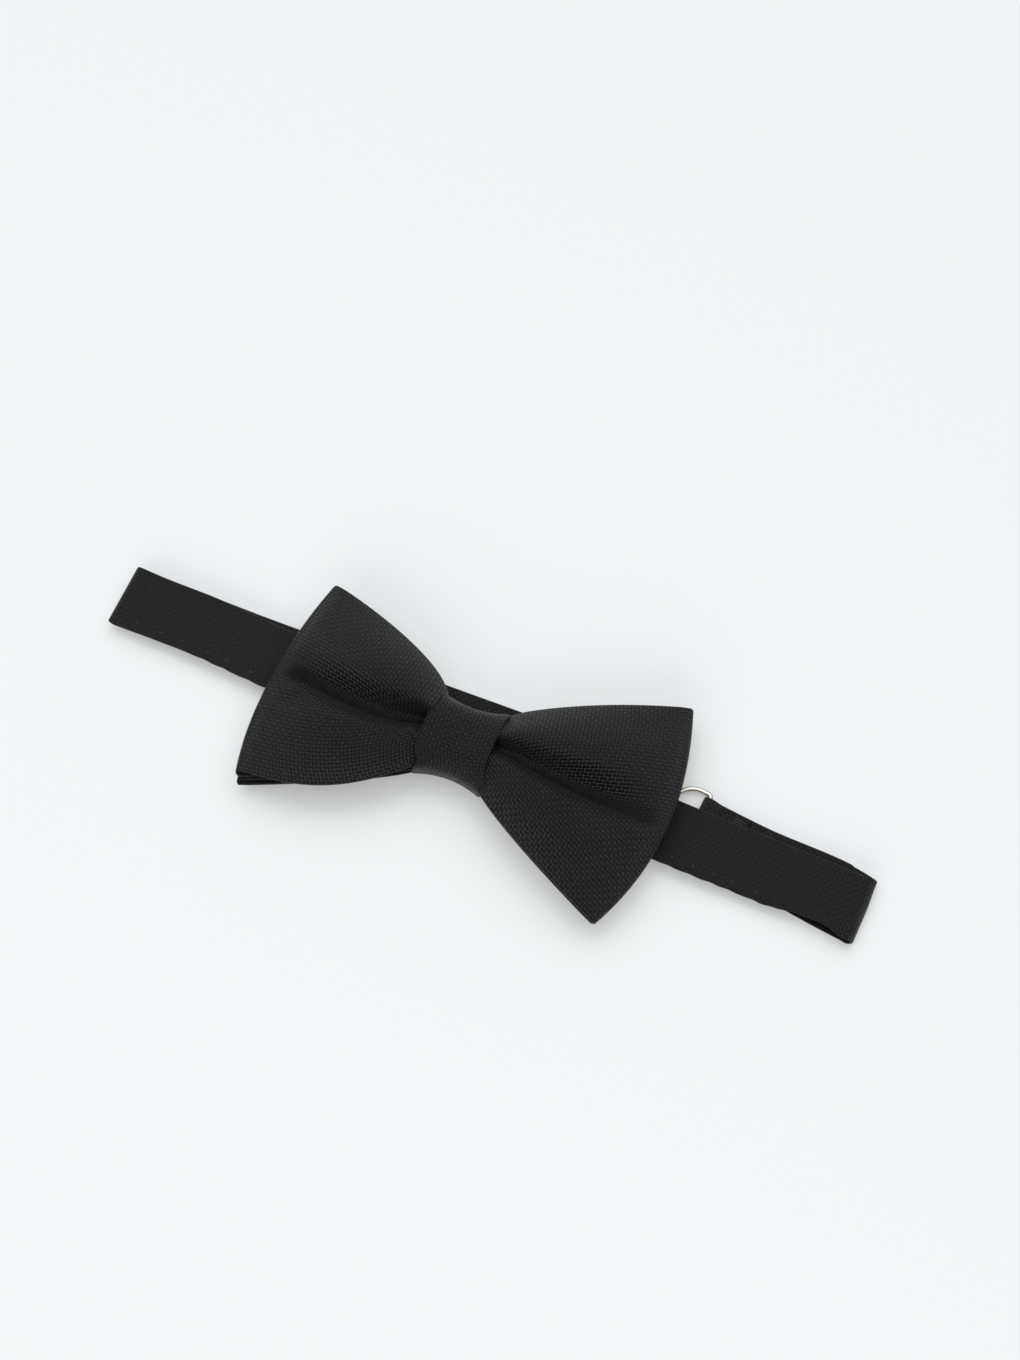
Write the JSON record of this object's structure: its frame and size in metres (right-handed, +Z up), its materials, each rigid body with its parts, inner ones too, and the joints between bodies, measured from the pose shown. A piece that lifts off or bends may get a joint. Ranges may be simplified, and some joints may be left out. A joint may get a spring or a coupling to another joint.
{
  "type": "bow tie",
  "caption": "Pre-tied black woven bow tie with a knot wrap, doubled wings and a folded adjustable neckband that closes with a slider, hook and eye ring.",
  "frame": {"origin": "on the surface that the bow tie rests on, under the middle of the knot", "axes": "+X along the neckband to the right of a viewer who faces the bow, +Y to the top of the bow, +Z up from the resting surface to the bow's front"},
  "size_m": [0.2433, 0.0769, 0.0166],
  "materials": {
    "bow_fabric": "woven basket texture with a soft sheen",
    "knot_fabric": "woven basket texture with a soft sheen",
    "band_fabric": "woven basket texture, flatter",
    "interlining": "felted",
    "thread": "twisted thread",
    "metal": "satin nickel"
  },
  "bodies": {
    "root": {"knot_wrap": "knot_fabric", "knot_interlining": "interlining", "knot_back_stitches": "thread", "waist_thread": "thread", "front_bow_strip": "bow_fabric", "front_bow_interlining": "interlining", "rear_bow_strip": "bow_fabric", "rear_bow_interlining": "interlining", "neckband_upper": "band_fabric", "neckband_upper_interlining": "interlining", "left_fold": "band_fabric", "right_fold": "band_fabric"},
    "left_run": {"adjusting_strap": "band_fabric", "adjusting_strap_interlining": "interlining"},
    "strap_end": {"adjusting_strap_end": "band_fabric", "strap_hook_turn": "band_fabric", "return_strap": "band_fabric"},
    "slider": {"slider_frame": "metal", "slider_strap_loop": "band_fabric", "slider_bar_tack": "thread"},
    "hook_piece": {"hook": "metal"},
    "right_run": {"ring_strap": "band_fabric", "ring_strap_interlining": "interlining", "ring_strap_loop": "band_fabric", "ring_bar_tack": "thread"},
    "ring_piece": {"eye_ring": "metal"}
  },
  "joints": [
    {"name": "left_fold_hinge", "type": "hinge", "parent": "root", "child": "left_run", "pos_m": [-0.1145, 0, 0.00398], "axis": [0, 1, 0], "range_deg": [0, 179.5], "deforming": ["left_fold"]},
    {"name": "right_fold_hinge", "type": "hinge", "parent": "root", "child": "right_run", "pos_m": [0.1244, 0.0015, 0.0028], "axis": [0, -1, 0], "range_deg": [0, 179.5], "deforming": ["right_fold"]},
    {"name": "strap_end_slide", "type": "slide", "parent": "left_run", "child": "strap_end", "axis": [-0.999, -0.0454, 0], "range_m": [0, 0.032], "deforming": ["adjusting_strap_end"]},
    {"name": "slider_slide", "type": "slide", "parent": "strap_end", "child": "slider", "axis": [-0.999, -0.0454, 0], "range_m": [0, 0.032], "deforming": ["return_strap"]},
    {"name": "hook_swivel", "type": "hinge", "parent": "strap_end", "child": "hook_piece", "pos_m": [0.04783, 0.00737, 0.00158], "axis": [-0.0454, 0.999, 0], "range_deg": [0, 90]},
    {"name": "ring_swivel", "type": "hinge", "parent": "right_run", "child": "ring_piece", "pos_m": [0.0726, 0.00467, 0.0016], "axis": [-0.061, -0.9981, 0], "range_deg": [0, 90]}
  ],
  "couplings": [
    {"joint": "strap_end_slide", "follows": "slider_slide", "ratio": 1}
  ]
}
